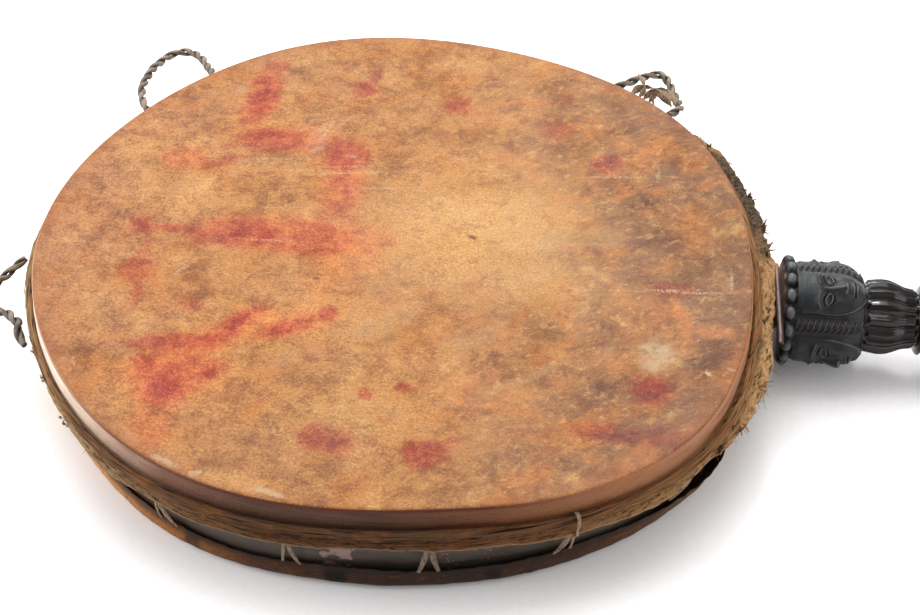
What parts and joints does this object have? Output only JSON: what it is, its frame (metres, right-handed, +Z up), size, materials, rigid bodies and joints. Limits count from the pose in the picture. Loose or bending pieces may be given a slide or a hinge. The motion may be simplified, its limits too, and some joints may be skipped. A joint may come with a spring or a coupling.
{
  "type": "ceremonial frame drum",
  "caption": "Two-headed round ritual drum with a carved dagger-shaped wooden handle of faces, braids and ribs, stained hide heads, thong lacing and twisted loops.",
  "frame": {"origin": "middle of the lower head's underside, where the drum lies", "axes": "+X along the handle, away from the drum; +Z up through the drum, towards the upper head"},
  "size_m": [0.6911, 0.389, 0.0621],
  "materials": {
    "upper_hide": "scraped rawhide, tan and orange-brown, stained red in places, satin",
    "lower_hide": "rolled rawhide, rust brown, rough",
    "bent_wood": "bent plank blackened by smoke and handling, satin",
    "split_cane": "split cane and fibre, dull brown",
    "hide_thong": "narrow raw hide thong, grey-brown, matt",
    "twisted_hide": "two strands of hide twisted hard, dark grey-brown",
    "carved_wood": "dark carved hardwood, oiled, satin on the faces and glossy on the grip"
  },
  "bodies": {
    "root": {"frame_hoop": "bent_wood", "handle": "carved_wood", "lacing_01": "hide_thong", "lacing_02": "hide_thong", "lacing_03": "hide_thong", "lacing_04": "hide_thong", "lacing_05": "hide_thong", "lacing_06": "hide_thong", "lacing_07": "hide_thong", "lacing_08": "hide_thong", "lacing_09": "hide_thong", "lacing_10": "hide_thong", "lacing_11": "hide_thong", "lacing_12": "hide_thong", "lacing_13": "hide_thong", "lacing_14": "hide_thong", "lacing_15": "hide_thong", "lacing_16": "hide_thong", "lacing_17": "hide_thong", "loop_back_left": "twisted_hide", "loop_back_right": "twisted_hide", "loop_left": "twisted_hide", "lower_head": "lower_hide", "root_strip": "split_cane", "upper_head": "upper_hide", "upper_hoop": "split_cane"}
  },
  "joints": []
}
